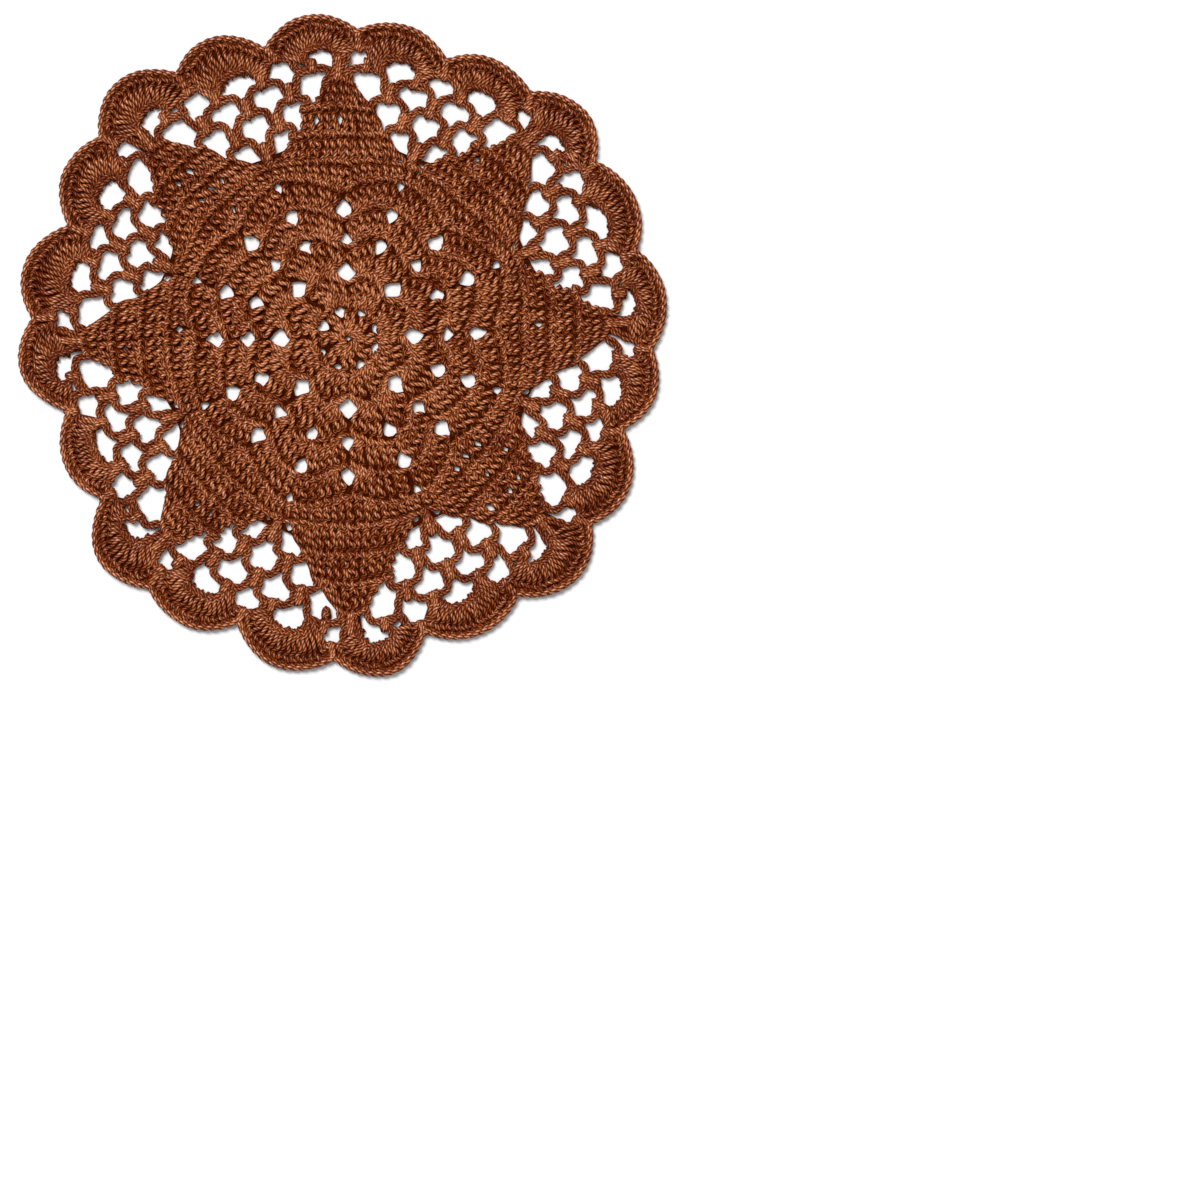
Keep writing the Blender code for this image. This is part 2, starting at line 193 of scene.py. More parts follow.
Scallop = namedtuple("Scallop", "peak_deg peak notch_deg notch")
SCALLOPS = [Scallop(*row) for row in (
    (9.6, 123.1, 19.5, 114.6), (28.6, 121.9, 36.5, 118.8), (46.0, 127.1, 54.5, 117.9),
    (63.8, 123.6, 73.0, 117.0), (82.4, 123.9, 92.0, 118.0), (99.2, 121.2, 108.2, 112.3),
    (119.6, 123.4, 127.2, 118.6), (136.6, 128.3, 146.5, 119.6), (155.4, 125.2, 165.2, 118.0),
    (173.6, 131.0, 182.5, 124.6), (191.2, 130.0, 201.2, 118.4), (210.6, 127.6, 218.6, 123.8),
    (226.8, 129.3, 237.0, 113.8), (245.2, 119.9, 255.4, 112.3), (265.8, 127.4, 273.6, 122.3),
    (281.6, 128.3, 292.0, 116.8), (301.8, 127.6, 309.0, 123.8), (317.8, 133.2, 327.2, 122.3),
    (334.2, 127.7, 344.0, 117.0), (353.2, 125.8, 361.8, 119.6),
)]
SCALLOP_POINTS = 8
EDGE_FINENESS = 33
SHELL_STITCHES = 18
SHELL_FINENESS = 25
# A shell's feet turn this far to each side and stand this far off the opening. Its tops fill
# this share of the scallop and leave this rim.
SHELL_TURN_DEG = 114
SHELL_ROOM = 1.3
SHELL_SHARE = 0.95
RIM_WIDTH = 4.3
# A shell ends beside the link loop's top, from where wraps rise towards the notch.
LINK_SPREAD = 0.9
NOTCH_WRAPS = (0.0, 0.3375, 0.6)
EDGE_STITCHES = 14
# From the outline in to the short stitches and to the rope.
EDGE_FEET = 4.4
EDGE_HEADS = 2.6
ROPE_INSET = 1.45

# The joining knot is a spiral: the start and the growth with each radian of its half width, half
# height and strand lift.
KNOT_PLACE = (184.5, 102.3)
KNOT_TURNS = 2.5
KNOT_POINTS = 16
KNOT_GROWTH = ((0.5, 0.05), (1.4, 0.1), (0.9, -0.1))

# ---- looks

# How much lighter the yarn is on a ply's crown, which paints a highlight there and shade in the
# grooves, on strands that pass high or low, which paints shade on those near the middle height
# under others, and with its fibre, and how much darker with each metre from the doily's middle
# and all over.
CROWN_TONE, RAISED_TONE, FIBRE_TONE, FAR_TONE, BASE_TONE = 0.6, 0.6, 0.25, 2.8, 0.58
BODY_STOP = 0.45
DYE_SCALE = 150.0
FIBRE_SCALE = 2600.0
# The noise scale that mottles the ground sheet's painted shade, and the depth of its bumps.
GAP_SHEET_SCALE = 900.0
GAP_SHEET_DEPTH = 0.4 * MM
FIBRE_RELIEF = 0.3
KEY_LIGHT_PLACE = (-0.75, 1.1, 2.0)
CAMERA_PLACE = (0.0992, -0.0980)

# ---- stitches

# The unevenness of hand work: of a stitch in widths, heights and shares, of a strand in
# millimetres and strand lifts, and of a chain's width in shares.
STITCH_SHIFT = 0.06
STITCH_RISE = 0.03
STITCH_SWING = 0.15
STRAND_WANDER = 0.24
STRAND_RISE = 0.18
CHAIN_SWELL = 0.06
# How far a row's strands pass its ends, in stitches.
ROW_OVERHANG = 0.05

# A stitch is a run of yarn. Tall and short stitches: x along the row, from -0.5 to 0.5 of a
# stitch, y from the row's base line at 0 to its top line at 1, z in strand lifts from the middle.
TALL = np.array([
    (-0.5, 0.98, 0.1), (-0.22, 1.02, 0.65), (0.15, 0.97, 0.65), (0.36, 0.87, 0),
    (0.1, 0.79, -0.45), (-0.28, 0.74, 0.15), (-0.18, 0.65, 0.75), (0.1, 0.57, 0.85),
    (0.32, 0.48, 0.35), (0.12, 0.42, -0.4), (-0.26, 0.4, 0.15), (-0.1, 0.31, 0.75),
    (0.18, 0.23, 0.65), (0.2, 0.14, -0.1), (-0.22, 0.12, 0.35), (-0.24, -0.01, 0.25),
    (-0.1, -0.08, -0.5), (0.14, -0.07, -0.5), (0.28, 0.02, 0.25), (0.38, 0.16, 0.45),
    (0.42, 0.34, 0.1), (0.4, 0.6, -0.5), (0.24, 0.82, -0.65), (0.12, 1.05, -0.25),
])
SHORT = np.array([
    (-0.5, 1, -0.1), (-0.1, 1.02, 0.2), (0.22, 0.8, 0.05), (-0.05, 0.45, -0.5),
    (-0.22, 0.2, -0.3), (-0.05, -0.12, -0.5), (0.22, 0.15, -0.3), (0.3, 0.55, -0.4),
    (0.12, 0.8, -0.5), (0.1, 1.08, -0.3),
])
# A shell's stitch, whose front strand runs straight up the post.
SHELL = np.array([
    (-0.5, 0.98, 0.1), (-0.22, 1.02, 0.6), (0.15, 0.97, 0.6), (0.3, 0.87, 0.1),
    (0.12, 0.77, 0.2), (-0.14, 0.66, 0.65), (-0.02, 0.5, 0.8), (0.06, 0.34, 0.7),
    (-0.08, 0.18, 0.4), (-0.12, 0.04, 0), (-0.05, -0.08, -0.5), (0.18, -0.02, -0.4),
    (0.36, 0.22, -0.1), (0.38, 0.52, -0.5), (0.26, 0.82, -0.65), (0.12, 1.05, -0.25),
])
# A chain: x in chain lengths, y in half widths of the chain, z in strand lifts.
CHAIN = np.array([
    (0, 0, -0.5), (0.25, 0.5, 0), (0.75, 1, 0.4), (1.25, 0.55, 0.3),
    (1.45, 0, 0.05), (1.25, -0.55, 0.3), (0.75, -1, 0.4), (0.3, -0.5, 0.05),
    (0.25, 0, -0.5), (0.6, 0, -0.7),
])
# A wrap round the bar that a loop hangs on: x and y in millimetres, z in strand lifts.
WRAP = np.array([
    (-0.9, 1.5, 0.5), (-0.7, 0, 0.95), (-0.4, -1.05, 0.3), (-0.2, -1, -0.5),
    (-0.1, 0, -0.85), (0.1, 1.6, -0.2), (0.2, 1.3, 0.6), (0.4, 0, 0.95),
    (0.6, -1.05, 0.3), (0.7, -0.95, -0.5), (0.8, 0, -0.8), (0.95, 1.5, -0.2),
])


def outwards(deg):
    return np.array((sin(radians(deg)), cos(radians(deg))))


def clockwise(deg):
    return outwards(deg + 90)


def petal_deg(repeat):
    turns, index = divmod(repeat, len(REPEATS))
    return REPEATS[index].petal_deg + 360 * turns


def net_deg(repeat, radius):
    fade = (LEAN_GONE_AT - radius) / (LEAN_GONE_AT - LEAN_ENDS_AT)
    lean = LEAN_DEG * min(1.0, max(0.0, fade))
    return (petal_deg(repeat) + petal_deg(repeat + 1)) / 2 - lean


def push(deg):
    """How far the crochet stands outside its even place, at PUSH_RADIUS."""
    marks = []
    for index in range(-1, len(REPEATS) + 1):
        repeat = REPEATS[index % len(REPEATS)]
        marks.append((petal_deg(index), repeat.petal_push))
        marks.append((net_deg(index, PUSH_RADIUS), repeat.net_push))
    deg = (deg - marks[1][0]) % 360 + marks[1][0]
    for (start, low), (end, high) in zip(marks, marks[1:]):
        if start <= deg <= end:
            blend = (1 - cos(pi * (deg - start) / (end - start))) / 2
            return low + (high - low) * blend
    return 0.0


def spot(deg, radius):
    """A point of the chart, pushed to its uneven place."""
    return outwards(deg) * (radius + push(deg) * radius / PUSH_RADIUS)


def side_deg(repeat, side, radius):
    """Direction at a side of a petal: -1 is the net axis before it, 0 the petal, 1 the net after."""
    petal, net = petal_deg(repeat), net_deg(repeat, radius)
    if side < 0:
        return petal + side * (petal - net_deg(repeat - 1, radius))
    if side <= 1:
        return petal + side * (net - petal)
    return net + (side - 1) * (petal_deg(repeat + 1) - net)


def seam_radius(seam, side):
    from_petal = min(abs(side), abs(2 - side))
    return seam.at_petal + (seam.at_net - seam.at_petal) * sin(pi / 2 * from_petal)


def seam_point(repeat, seam, side):
    radius = seam_radius(seam, side)
    return spot(side_deg(repeat, side, radius), radius)


def width_to_side(width, radius):
    return width / (HALF_REPEAT * radius)


def scallop_edge(index, share):
    """A point of a scallop's edge, from its first notch at share -1 over its peak to +1."""
    scallop = SCALLOPS[index]
    notch_deg, notch = SCALLOPS[index - (share < 0)][2:]
    if share < 0 and index == 0:
        notch_deg -= 360
    deg = scallop.peak_deg + abs(share) * (notch_deg - scallop.peak_deg)
    return outwards(deg) * (notch + (scallop.peak - notch) * (1 - share * share))


def outline():
    steps = np.linspace(-1, 1, SCALLOP_POINTS + 1)[:-1]
    shares = np.sin(pi / 2 * steps)
    return np.array([scallop_edge(i, share) for i in range(len(SCALLOPS)) for share in shares])


MIDDLE = (outline().min(0) + outline().max(0)) / 2


def outer_loops():
    """(direction, row, carries a shell) for the forty outer chain loops, clockwise."""
    loops = []
    for repeat in WEDGES:
        for row in OUTER_LOOPS:
            loops.append((net_deg(repeat, row.radius) + row.offset_deg, row, len(loops) % 2 == 1))
    return loops


def loop_size(row, shell):
    """The half width and half height of the opening in an outer loop."""
    return [size / 2 for size in (row[2:4] if shell else row[4:])]


# ---- runs of yarn


def lengths(points):
    """The length of a line up to each of its points."""
    return np.concatenate([[0], np.cumsum(np.linalg.norm(np.diff(points, axis=0), axis=1))])


def at(places, along, line):
    """The points of a line at those places along it."""
    return np.stack([np.interp(places, along, column) for column in line.T], axis=1)


def left_of(line, closed=False):
    """The directions to the left of a line, at its points."""
    heading = np.roll(line, -1, axis=0) - np.roll(line, 1, axis=0) if closed else np.gradient(line, axis=0)
    heading /= np.linalg.norm(heading, axis=1)[:, None]
    return np.column_stack([-heading[:, 1], heading[:, 0]])


def smooth(points, step, closed=False):
    """An even run of points, one a step, on a smooth line through the given ones."""
    points = np.asarray(points, float)
    if closed:
        points = np.vstack([points[-1:], points, points[:2]])
    else:
        points = np.vstack([2 * points[0] - points[1], points, 2 * points[-1] - points[-2]])
    t = np.linspace(0, 1, 9)[:-1, None, None]
    a, b, c, d = points[:-3], points[1:-2], points[2:-1], points[3:]
    fine = 2 * b + (c - a) * t + (2 * a - 5 * b + 4 * c - d) * t**2 + (3 * b - a - 3 * c + d) * t**3
    fine = np.vstack([fine.transpose(1, 0, 2).reshape(-1, points.shape[1]) / 2, points[-2:-1]])
    along = lengths(fine)
    count = max(2, round(along[-1] / step))
    places = np.linspace(0, along[-1], count + 1)
    if closed:
        places = places[:-1]
    return at(places, along, fine)


def evenly(points, count):
    """That many points, evenly spaced along a line through the given ones."""
    points = np.asarray(points, float)
    along = lengths(points)
    return at(np.linspace(0, along[-1], count), along, points)


class Crochet:
    """Lays stitches into runs of yarn, with the small unevenness of hand work."""

    def __init__(self, lift, seed):
        self.lift = lift / MM
        self.chance = np.random.default_rng(seed)

    def row(self, base, top, stitch=TALL):
        """A row of stitches between two lines of one point more than there are stitches."""
        count = len(base) - 1
        turn = len(stitch)
        shift = self.chance.normal(0, STITCH_SHIFT, count)
        rise = self.chance.normal(0, STITCH_RISE, count)
        swing = np.repeat(self.chance.normal(1.0, STITCH_SWING, count), turn)
        x = np.repeat(np.arange(count) + 0.5 + shift, turn) + np.tile(stitch[:, 0], count) * swing
        y = np.tile(stitch[:, 1], count) + np.repeat(rise, turn)
        x = np.clip(x, -ROW_OVERHANG, count + ROW_OVERHANG)
        steps = np.arange(count + 1)
        low, high = at(x, steps, base), at(x, steps, top)
        flat = low + (high - low) * y[:, None] + self.chance.normal(0, STRAND_WANDER, (len(x), 2))
        z = (np.tile(stitch[:, 2], count) + self.chance.normal(0, STRAND_RISE, len(x))) * self.lift
        return np.column_stack([flat, z])

    def chain(self, points):
        """A bar of chain stitches along a line, its ends drawn out for the last strands."""
        points = np.array(points, float)
        points[1:-1] += self.chance.normal(0, STRAND_WANDER, (len(points) - 2, 2))
        line = smooth(points, CHAIN_STEP)
        line = np.vstack([line[0] * 6 - line[1] * 5, line, line[-1] * 6 - line[-2] * 5])
        along = lengths(line)
        bar = along[-2] - along[1]
        count = max(1, round(bar / CHAIN_LENGTH))
        x = np.repeat(np.arange(count), len(CHAIN)) + np.tile(CHAIN[:, 0], count)
        place = along[1] + x * bar / count
        middle, across = at(place, along, line), at(place, along, left_of(line))
        size = CHAIN_HALF_WIDTH * np.repeat(self.chance.normal(1, CHAIN_SWELL, count), len(CHAIN))
        flat = middle + across * (np.tile(CHAIN[:, 1], count) * size)[:, None]
        return np.column_stack([flat, np.tile(CHAIN[:, 2], count) * self.lift])

    def wrap(self, point, deg):
        """A short stitch round the bar at that point, which runs across that direction."""
        flat = point + WRAP[:, :1] * clockwise(deg) + WRAP[:, 1:2] * outwards(deg)
        return np.column_stack([flat, WRAP[:, 2] * self.lift])

    def wraps(self, knot, deg, rises):
        return [self.wrap(knot + outwards(deg) * rise, deg) for rise in rises]

    def part(self, run, deg, opening, side=0, width=PARTED_WIDTH, centre=None):
        """Moves strands aside round an opening: those left (-1) or right (1) of it or both (0)."""
        local = run[:, :2] - (spot(deg, opening.radius) if centre is None else centre)
        across = local @ clockwise(deg)
        way = np.full(len(run), side) if side else np.where(across < 0, -1, 1)
        reach = np.maximum(across * way, 0.0)
        up = local @ outwards(deg) + self.chance.normal(0, 2 * UNEVEN_SIDES)
        high = opening.half_height + STRAND_ROOM
        flank = np.clip(1 - np.abs(up / high) ** opening.shape.power, 0, 1) ** (1 / opening.shape.power)
        flank *= opening.half_width * self.chance.normal(1, UNEVEN_SIDES) + STRAND_ROOM
        flank *= 1 - opening.shape.taper * np.clip(up / high, -1, 1)
        moved = np.where(reach < width, flank + reach * (1 - flank / width), reach)
        flat = run[:, :2] + ((moved - reach) * way)[:, None] * clockwise(deg)
        return np.column_stack([flat, run[:, 2]])

    def rope(self, line, strands=2, pitch=6.6, reach=0.55, rise=0.55, points=8):
        """Strands that wind round each other along a closed line, in so many points each turn."""
        line = smooth(line, pitch / points, closed=True)
        across = left_of(line, closed=True)
        turn = np.linspace(0, tau * round(len(line) / points), len(line), endpoint=False)
        runs = []
        for strand in range(strands):
            angle = turn + tau * strand / strands
            flat = line + across * (reach * np.sin(angle))[:, None]
            runs.append(np.column_stack([flat, rise * self.lift + reach * np.cos(angle)]))
        return runs


def centre_round(hook):
    """Sixteen tall stitches in a ring, two between every pair of one-chain gaps."""
    runs = []
    for index, gap in enumerate(CENTRE_GAPS):
        following = CENTRE_GAPS[(index + 1) % len(CENTRE_GAPS)]
        start, end = gap.offset_deg, following.offset_deg
        end += 360 if end < start else 0
        half = degrees(CENTRE_GAP_HALF / CENTRE_TOP)
        lines = []
        for radius, room in ((CENTRE_RING, half / 3), (CENTRE_TOP, half)):
            degs = np.linspace(start + room, end - room, CENTRE_STITCHES + 1)
            lines.append(np.array([spot(deg, radius) for deg in degs]))
        run = hook.row(*lines)
        for deg, opening, side in ((start, gap, 1), (end, following, -1)):
            run = hook.part(run, deg, opening, side, CENTRE_PARTED)
        runs.append(run)
    return np.vstack(runs)


def fan_round(hook):
    """A fan of five tall stitches in each one-chain gap."""
    runs = []
    for repeat in WEDGES:
        gap = CENTRE_GAPS[(repeat + 1) % len(REPEATS)].offset_deg
        half = degrees(FAN_HALF_BASE / CENTRE_TOP)
        low = [spot(deg, CENTRE_TOP) for deg in np.linspace(gap - half, gap + half, FAN_STITCHES + 1)]
        sides = np.linspace(AXIS_GAP, 2 - AXIS_GAP, FAN_STITCHES + 1)
        high = [seam_point(repeat, FAN_TOP, side) for side in sides]
        run = hook.row(np.array(low), np.array(high))
        for index, side in ((repeat, 1), (repeat + 1, -1)):
            run = hook.part(run, petal_deg(index), AT_PETAL[0], side)
        run[run[:, :2] @ outwards(gap) < CENTRE_TOP, :2] += outwards(gap) * FAN_FOOT_SHIFT
        runs.append(run)
    return np.vstack(runs)


def split_round(hook, row):
    """Half rows on both sides of every petal axis, parted round the openings."""
    runs = []
    for repeat in WEDGES:
        for turned in (False, True):
            lines = []
            for seam in (row.base, row.top):
                sides = np.linspace(AXIS_GAP, 1 - AXIS_GAP, row.stitches + 1)
                if turned:
                    sides = 2 - sides[::-1]
                lines.append(np.array([seam_point(repeat, seam, side) for side in sides]))
            run = hook.row(*lines)
            for opening in AT_PETAL:
                run = hook.part(run, petal_deg(repeat + turned), opening, -1 if turned else 1)
            for opening in AT_NET:
                run = hook.part(run, net_deg(repeat, opening.radius), opening, 1 if turned else -1)
            runs.append(run)
    return np.vstack(runs)


def petal_line(repeat, row, half, count):
    """The line on top of that petal row, or for row -1 the last seam of the closed rounds."""
    line = []
    for share in np.linspace(-1, 1, count):
        if row < 0:
            radius = seam_radius(THIRD_SPLIT, share * width_to_side(half, THIRD_SPLIT.at_net))
        else:
            top, edge = PETAL_ROWS[row][:2]
            radius = top + (edge - top) * share * share
        side = width_to_side(share * (half - PETAL_TRIM) - PETAL_SHIFT, radius)
        line.append(spot(side_deg(repeat, side, radius), radius))
    return np.array(line)


def petal_lines(repeat, row):
    """The lines that a petal row stands on and ends at."""
    size = PETAL_ROWS[row]
    base = petal_line(repeat, row - 1, size.half_base, size.stitches + 1)
    return base, petal_line(repeat, row, size.half_top, size.stitches + 1)


def slit_place(slit):
    """The middle of a slit and the direction in which it runs."""
    base, top = petal_lines(slit.repeat, slit.row)
    low, high = base[slit.stitch], top[slit.stitch]
    return (low + high) / 2, degrees(atan2(*(high - low)))


def petal_row(hook, repeat, row):
    run = hook.row(*petal_lines(repeat, row))
    if row == 0:
        opening = AT_NET[-1]
        for index, side in ((repeat, -1), (repeat - 1, 1)):
            run = hook.part(run, net_deg(index, opening.radius), opening, side)
    if row == 1:
        for opening in UNDER_BAR:
            index = repeat if opening.offset_deg < 0 else repeat - 1
            deg = net_deg(index, opening.radius) + opening.offset_deg
            run = hook.part(run, deg, opening, 0, SMALL_PARTED)
    for slit in SLITS:
        if (slit.repeat, slit.row) == (repeat, row):
            middle, deg = slit_place(slit)
            opening = Opening(0.0, 0.0, SLIT_HALF_WIDTH, slit.half_height)
            run = hook.part(run, deg, opening, 0, SMALL_PARTED, middle)
    return run


def arch_points(deg, radius, half_width, half_height, start, end):
    """The middle line of a chain loop over an opening, between its ends. An end that stands on a
    petal's corner, marked by True, skips the flank."""
    (first, first_corner), (last, last_corner) = start, end
    arch = [*ARCH]
    if not first_corner:
        arch.insert(0, (-ARCH_FLANK, 0.0))
    if not last_corner:
        arch.append((ARCH_FLANK, 0.0))
    centre, wide, high = spot(deg, radius), half_width + BAR, half_height + BAR
    points = [centre + clockwise(deg) * across * wide + outwards(deg) * up * high for across, up in arch]
    return [first, *points, last]


def knot_over(axis, opening):
    """The direction and place of the knot on the chain over an opening."""
    deg = axis + opening.offset_deg
    return deg, spot(deg, opening.radius + opening.half_height + BAR)


def net_round(hook, row):
    """One round of petal rows and chain loops. Row 0 has one short loop in each wedge."""
    runs = []
    for repeat in WEDGES:
        runs.append(petal_row(hook, repeat, row))
        size = PETAL_ROWS[row]
        left = petal_line(repeat, row, size.half_top, 2)[1]
        right = petal_line(repeat + 1, row, size.half_top, 2)[0]
        axis = net_deg(repeat, PUSH_RADIUS)
        if row == 0:
            runs.append(hook.chain([left, spot(axis, FIRST_NET_TOP), right]))
            continue
        loops = NET_ROWS[row - 1]
        knots = [spot(axis, FIRST_NET_TOP)]
        if row > 1:
            knots = [knot_over(axis, below)[1] for below in NET_ROWS[row - 2]]
        for index, loop in enumerate(loops):
            deg = axis + loop.offset_deg
            aside = clockwise(deg) * FOOT_SPREAD
            last = index == len(loops) - 1
            start = (left, True) if index == 0 else (knots[index - 1] + aside, False)
            end = (right, True) if last else (knots[index] - aside, False)
            runs.append(hook.chain(arch_points(deg, *loop[1:4], start, end)))
            if not last:
                deg = axis + (loop.offset_deg + loops[index + 1].offset_deg) / 2
                runs += hook.wraps(knots[index], deg, VALLEY_WRAPS[row])
    return np.vstack(runs)


def loop_anchors():
    """Where the outer loops are tied down: at the petal tips and on the last net row."""
    anchors = []
    for repeat in WEDGES:
        axis = net_deg(repeat, PUSH_RADIUS)
        anchors.append((petal_deg(repeat), spot(petal_deg(repeat), TIP_KNOT_RADIUS)))
        anchors += [knot_over(axis, opening) for opening in NET_ROWS[-1]]
    return anchors


def outer_round(hook):
    anchors = loop_anchors()
    runs = []
    for index, (deg, row, shell) in enumerate(outer_loops()):
        knot_deg, knot = anchors[index]
        following = anchors[(index + 1) % len(anchors)][1]
        aside = clockwise(deg) * FOOT_SPREAD
        at_tip = index % len(OUTER_LOOPS) == 0
        runs += hook.wraps(knot, knot_deg, TIP_WRAPS if at_tip else VALLEY_WRAPS[-1])
        ends = ((knot + aside, False), (following - aside, False))
        runs.append(hook.chain(arch_points(deg, row.radius, *loop_size(row, shell), *ends)))
    return np.vstack(runs)


def joining_knot(hook):
    """The small knot in which the yarn of the first rounds is fastened off."""
    turns = np.linspace(0, tau * KNOT_TURNS, KNOT_POINTS)
    wide, high, rise = (start + growth * turns for start, growth in KNOT_GROWTH)
    across, up = (np.cos(turns) * wide)[:, None], (np.sin(turns) * high)[:, None]
    deg = KNOT_PLACE[0]
    flat = spot(*KNOT_PLACE) + across * clockwise(deg) + up * outwards(deg)
    return np.column_stack([flat, rise * hook.lift])


def shell_lines(index, deg, row, ends):
    """The lines on which a scallop's stitches stand and end, the upper one between those ends."""
    half_width, half_height = loop_size(row, True)
    centre = spot(deg, row.radius)
    base, top = [], []
    for share in np.linspace(-1, 1, SHELL_FINENESS):
        turn = radians(90 - SHELL_TURN_DEG * share)
        across = cos(turn) * (half_width + SHELL_ROOM)
        up = sin(turn) * (half_height + SHELL_ROOM)
        base.append(centre + clockwise(deg) * across + outwards(deg) * up)
        edge = scallop_edge(index, SHELL_SHARE * share)
        inwards = centre - edge
        top.append(edge + inwards / np.linalg.norm(inwards) * RIM_WIDTH)
    return [evenly(line, SHELL_STITCHES + 1) for line in (base, [ends[0], *top, ends[1]])]


def shell_round(hook):
    """The shells of tall stitches, each tied down on the link loop that follows it."""
    loops = outer_loops()
    runs = []
    for index in range(len(SCALLOPS)):
        before, (deg, row, _), after = (loops[(2 * index + step) % len(loops)] for step in range(3))
        ends = []
        for (link_deg, link, _), side in ((before, 1), (after, -1)):
            knot = spot(link_deg, link.radius + link.link_height / 2 + BAR)
            ends.append(knot + clockwise(link_deg) * side * LINK_SPREAD)
        runs.append(hook.row(*shell_lines(index, deg, row, ends), SHELL))
        knot = ends[1] + clockwise(after[0]) * LINK_SPREAD
        notch = scallop_edge(index, 1.0)
        for share in NOTCH_WRAPS:
            runs.append(hook.wrap(knot + (notch - knot) * share, after[0]))
    return np.vstack(runs)


def edge_line(inset, count):
    """The outline set in by that much, as a closed line of so many points a scallop."""
    lines = []
    for index in range(len(SCALLOPS)):
        edge = np.array([scallop_edge(index, share) for share in np.linspace(-1, 1, EDGE_FINENESS)])
        lines.append(evenly(edge, count + 1)[:-1])
    line = np.vstack(lines)
    return line - left_of(line, closed=True) * inset


# ---- the ground, a dark sheet of painted shade


def ground_loops(settings):
    """The ground's outline and its openings, in chart millimetres."""
    loops = [smooth(edge_line(settings.edge_inset, SCALLOP_POINTS), GROUND_STEP, closed=True)]
    for repeat in WEDGES:
        loops.append(net_wedge(repeat))
        places = [(petal_deg(repeat), opening) for opening in AT_PETAL]
        places += [(net_deg(repeat, opening.radius), opening) for opening in (*AT_NET, *UNDER_BAR)]
        loops += [opening_loop(opening, settings.opening_room, axis) for axis, opening in places]
    loops += [opening_loop(opening, settings.opening_room) for opening in CENTRE_GAPS]
    return [*loops, opening_loop(CENTRE_HOLE, 0.0), *ground_slits()]


def ground_slits():
    """Room under the slits of the petal rows."""
    loops = []
    for slit in SLITS:
        middle, deg = slit_place(slit)
        end = outwards(deg) * (slit.half_height + SLIT_END_ROOM)
        side = clockwise(deg) * SLIT_SIDE_ROOM
        loops.append(np.array([middle + end, middle + side, middle - end, middle - side]))
    return loops


def net_wedge(repeat):
    """The opening between two petals, which only the chain loops cross."""
    corners = []
    for row in range(len(PETAL_ROWS) - 1, 0, -1):
        corners += [(PETAL_ROWS[row].half_top, row), (PETAL_ROWS[row].half_base, row - 1)]
    # The first bar lies between the lowest corners.
    left = [petal_line(repeat, row, half - WEDGE_REACH, 2)[1] for half, row in corners[:-1]]
    right = [petal_line(repeat + 1, row, half - WEDGE_REACH, 2)[0] for half, row in corners[:-1]]
    axis = net_deg(repeat, PUSH_RADIUS)
    bar = [spot(axis + offset, radius) for offset, radius in WEDGE_BAR]
    rim = []
    first = len(OUTER_LOOPS) * repeat
    for deg, row, shell in reversed(outer_loops()[first : first + len(OUTER_LOOPS)]):
        half_width, half_height = loop_size(row, shell)
        for turn in WEDGE_ARC_DEG:
            across = sin(radians(turn)) * (half_width + WEDGE_ARC_ROOM)
            up = cos(radians(turn)) * (half_height + WEDGE_ARC_ROOM)
            rim.append(spot(deg, row.radius) + clockwise(deg) * across + outwards(deg) * up)
    return np.array([*left, *bar, *right[::-1], *rim])


def opening_loop(opening, room, axis=0.0):
    """The edge of an opening, which clears it by that room."""
    deg, (taper, power) = axis + opening.offset_deg, opening.shape
    points = []
    for angle in np.linspace(0, tau, 12, endpoint=False):
        across, up = sin(angle), cos(angle)
        reach = (abs(across) ** power + abs(up) ** power) ** (-1 / power)
        across *= reach * (opening.half_width * (1 - taper * up * reach) + room)
        up *= reach * (opening.half_height + room)
        points.append(spot(deg, opening.radius) + clockwise(deg) * across + outwards(deg) * up)
    return np.array(points)


# ---- meshes and materials


def new_piece(name, data):
    """A piece made of that data, alone selected in the scene."""
    piece = bpy.data.objects.new(name, data)
    bpy.context.scene.collection.objects.link(piece)
    bpy.ops.object.select_all(action="DESELECT")
    piece.select_set(True)
    bpy.context.view_layer.objects.active = piece
    return piece


def dress(piece, material):
    """Gives a finished piece its material and its place in the frame."""
    piece.data.materials.clear()
    piece.data.materials.append(material)
    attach(piece, "root")
    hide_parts("doily")


def knit_piece(name, runs, settings):
    """Sweeps closed runs of yarn into one mesh, whose UV map follows the ply."""
    curve = bpy.data.curves.new(name, "CURVE")
    curve.dimensions = "3D"
    curve.twist_mode = "MINIMUM"
    curve.bevel_depth = settings.width / 2
    curve.bevel_resolution = 1
    sides = 4 + 2 * curve.bevel_resolution
    turns = []
    for run in runs:
        path = smooth(run, settings.segment / MM, closed=True)
        path[:, :2] -= MIDDLE
        path *= MM
        path[:, 2] = np.maximum(path[:, 2] + settings.middle, settings.width / 2)
        spline = curve.splines.new("POLY")
        spline.points.add(len(path) - 1)
        spline.points.foreach_set("co", np.column_stack([path, np.ones(len(path))]).ravel())
        spline.use_cyclic_u = True
        turn = max(1, round(len(path) * settings.segment / settings.twist))
        turns.append((turn, len(path) * sides * 4))
    piece = new_piece(name, curve)
    bpy.ops.object.convert(target="MESH")
    bpy.ops.object.shade_smooth()
    layer = piece.data.uv_layers[0]
    uv = np.empty(len(piece.data.loops) * 2, np.float32)
    layer.data.foreach_get("uv", uv)
    uv[::2] *= np.repeat(*zip(*turns))
    layer.data.foreach_set("uv", uv)
    layer.name = "ply"
    return piece


